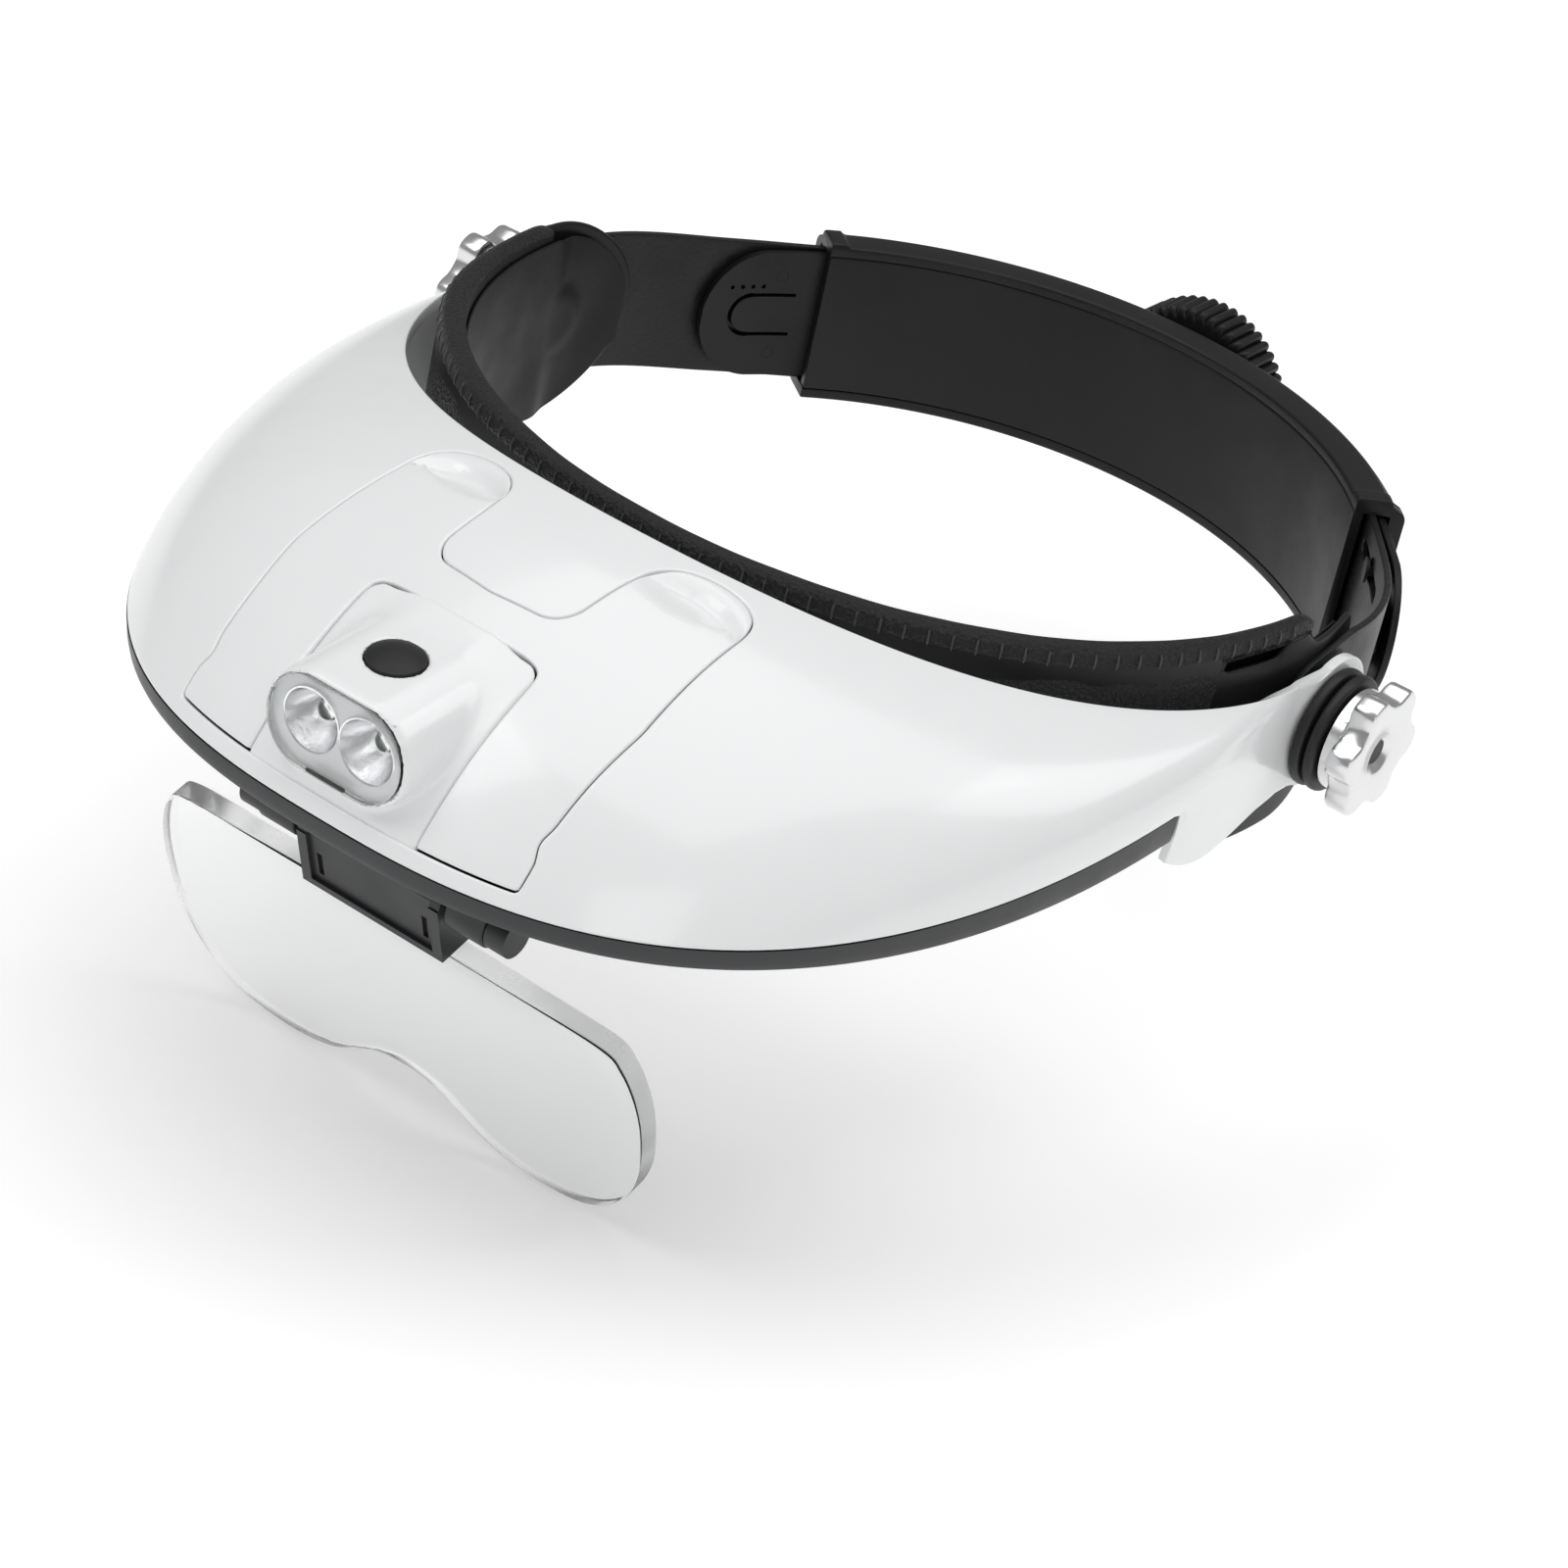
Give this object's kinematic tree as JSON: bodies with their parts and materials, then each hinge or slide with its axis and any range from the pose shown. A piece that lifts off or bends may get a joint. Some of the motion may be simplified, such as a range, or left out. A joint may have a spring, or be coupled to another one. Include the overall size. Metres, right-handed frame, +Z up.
{
  "type": "head visor magnifier",
  "caption": "Head-worn magnifier: adjustable harness with a tilting lamp visor and a flip-up clip that holds a clear spectacle-shaped magnifying lens plate.",
  "frame": {"origin": "midway between the two temple pivots, on the axis the visor tilts about", "axes": "+X to the viewer's right from in front, which is the wearer's left; -Y forward, through the lamp; +Z up"},
  "size_m": [0.224, 0.2889, 0.1171],
  "materials": {
    "front_band": "smooth satin black moulded strip with leaf-shaped ends",
    "sweatband": "grained black leatherette over foam, stitched along the top",
    "left_strap": "black plastic with a fine leather grain",
    "right_strap": "black plastic with a fine leather grain",
    "housing_inner": "satin black moulding",
    "housing_outer": "satin black moulding",
    "housing_screws": "plain steel",
    "pivot_bolts": "turned steel, black head",
    "strap_washers": "black rubber",
    "left_friction_washers": "black rubber",
    "right_friction_washers": "black rubber",
    "left_rack": "smooth black flexible plastic",
    "left_rivets": "plain steel",
    "right_rack": "smooth black flexible plastic",
    "right_rivets": "plain steel",
    "size_knob": "satin black, ribbed rim",
    "pinion": "plain nylon",
    "knob_spring": "spring steel",
    "knob_screw": "plain steel",
    "left_star_knob": "polished silver",
    "right_star_knob": "polished silver",
    "visor_shell": "glossy pearl white",
    "visor_tray": "dark grey satin moulding",
    "tray_screws": "plain steel",
    "lamp_housing": "glossy pearl white",
    "lamp_window": "clear plastic",
    "left_reflector": "bright metallised cup",
    "right_reflector": "bright metallised cup",
    "left_led": "clear epoxy lamp",
    "right_led": "clear epoxy lamp",
    "circuit_board": "green laminate",
    "button_switch": "black tactile switch",
    "battery_tray": "black moulding",
    "battery_1": "plain wrapped cell",
    "battery_2": "plain wrapped cell",
    "battery_3": "plain wrapped cell",
    "battery_contacts": "spring steel",
    "contact_springs": "spring steel",
    "hinge_pin": "dark satin pin with round caps",
    "front_cover": "glossy pearl white",
    "power_button": "soft black",
    "lens_clip": "dark grey satin moulding",
    "clip_spring": "spring steel",
    "lens_plate": "thick clear acrylic, polished"
  },
  "bodies": {
    "harness": {"front_band": "front_band", "sweatband": "sweatband", "left_strap": "left_strap", "right_strap": "right_strap", "housing_inner": "housing_inner", "housing_outer": "housing_outer", "housing_screws": "housing_screws", "pivot_bolts": "pivot_bolts", "strap_washers": "strap_washers", "left_friction_washers": "left_friction_washers", "right_friction_washers": "right_friction_washers"},
    "left_rack_body": {"left_rack": "left_rack", "left_rivets": "left_rivets"},
    "right_rack_body": {"right_rack": "right_rack", "right_rivets": "right_rivets"},
    "size_knob_body": {"size_knob": "size_knob", "pinion": "pinion", "knob_spring": "knob_spring", "knob_screw": "knob_screw"},
    "left_star": {"left_star_knob": "left_star_knob"},
    "right_star": {"right_star_knob": "right_star_knob"},
    "visor": {"visor_shell": "visor_shell", "visor_tray": "visor_tray", "tray_screws": "tray_screws", "lamp_housing": "lamp_housing", "lamp_window": "lamp_window", "left_reflector": "left_reflector", "right_reflector": "right_reflector", "left_led": "left_led", "right_led": "right_led", "circuit_board": "circuit_board", "button_switch": "button_switch", "battery_tray": "battery_tray", "battery_1": "battery_1", "battery_2": "battery_2", "battery_3": "battery_3", "battery_contacts": "battery_contacts", "contact_springs": "contact_springs", "hinge_pin": "hinge_pin"},
    "cover": {"front_cover": "front_cover"},
    "button": {"power_button": "power_button"},
    "clip": {"lens_clip": "lens_clip", "clip_spring": "clip_spring"},
    "lens": {"lens_plate": "lens_plate"}
  },
  "joints": [
    {"name": "size_knob_turn", "type": "hinge", "parent": "harness", "child": "size_knob_body", "pos_m": [0, 0.11, -0.0068], "axis": [0, 1, 0], "range_deg": [-110, 110]},
    {"name": "left_rack_slide", "type": "hinge", "parent": "harness", "child": "left_rack_body", "pos_m": [0, 0.0092, -0.0064], "axis": [0, 0, 1], "range_deg": [-6.25, 6.25]},
    {"name": "right_rack_slide", "type": "hinge", "parent": "harness", "child": "right_rack_body", "pos_m": [0, 0.0092, -0.0064], "axis": [0, 0, 1], "range_deg": [-6.1, 6.1]},
    {"name": "left_star_turn", "type": "hinge", "parent": "harness", "child": "left_star", "pos_m": [-0.108, 0, 0], "axis": [1, 0, 0], "range_deg": [-180, 180]},
    {"name": "right_star_turn", "type": "hinge", "parent": "harness", "child": "right_star", "pos_m": [0.108, 0, 0], "axis": [1, 0, 0], "range_deg": [-180, 180]},
    {"name": "visor_tilt", "type": "hinge", "parent": "harness", "child": "visor", "pos_m": [0, 0, 0], "axis": [1, 0, 0], "range_deg": [-60, 10]},
    {"name": "battery_cover_lift", "type": "slide", "parent": "visor", "child": "cover", "axis": [0, 0, 1], "range_m": [0, 0.025]},
    {"name": "power_button_press", "type": "slide", "parent": "visor", "child": "button", "axis": [0, 0.1045, -0.9945], "range_m": [0, 0.0008], "stiffness_N_per_m": 1500},
    {"name": "lens_flip", "type": "hinge", "parent": "visor", "child": "clip", "pos_m": [0, -0.1515, -0.0235], "axis": [1, 0, 0], "range_deg": [-110, 10]},
    {"name": "lens_swap", "type": "slide", "parent": "clip", "child": "lens", "axis": [0, 0.342, -0.9397], "range_m": [0, 0.014]}
  ],
  "couplings": [
    {"joint": "left_rack_slide", "follows": "size_knob_turn", "ratio": -0.05669},
    {"joint": "right_rack_slide", "follows": "size_knob_turn", "ratio": 0.05507}
  ]
}
